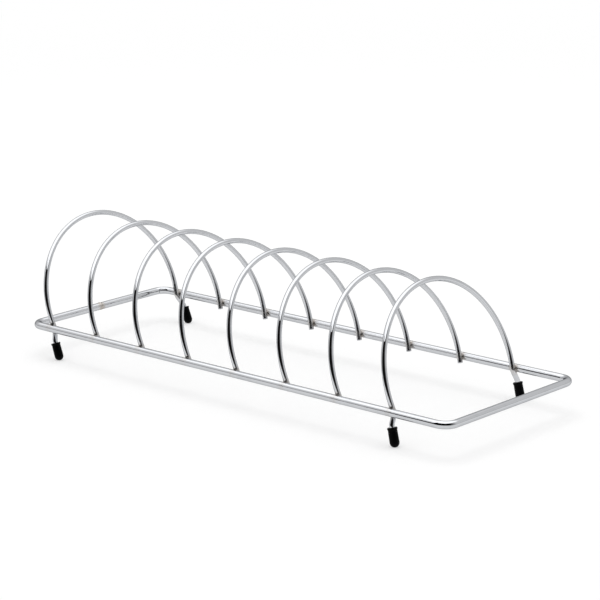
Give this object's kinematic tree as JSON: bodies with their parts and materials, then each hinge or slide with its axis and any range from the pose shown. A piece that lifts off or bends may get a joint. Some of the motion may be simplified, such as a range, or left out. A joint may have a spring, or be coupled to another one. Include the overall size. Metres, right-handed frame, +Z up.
{
  "type": "toast rack",
  "caption": "Chromed wire toast rack: a long rectangular base frame, a row of half-round hoops that lean the same way, and black rubber foot caps on the legs of the end hoops.",
  "frame": {"origin": "middle of the rack's footprint, on the table", "axes": "+X along the rack, away from the side that the hoops lean towards; +Y across it, from the front rail to the back rail; +Z up"},
  "size_m": [0.3288, 0.1156, 0.0782],
  "materials": {
    "chromed_wire": "bright polished chrome plate",
    "black_rubber": "smooth satin moulded rubber"
  },
  "bodies": {
    "root": {"base_frame": "chromed_wire", "end_hoop_left": "chromed_wire", "hoop_2": "chromed_wire", "hoop_3": "chromed_wire", "hoop_4": "chromed_wire", "hoop_5": "chromed_wire", "hoop_6": "chromed_wire", "hoop_7": "chromed_wire", "end_hoop_right": "chromed_wire", "foot_cap_left_front": "black_rubber", "foot_cap_left_back": "black_rubber", "foot_cap_right_front": "black_rubber", "foot_cap_right_back": "black_rubber"}
  },
  "joints": []
}
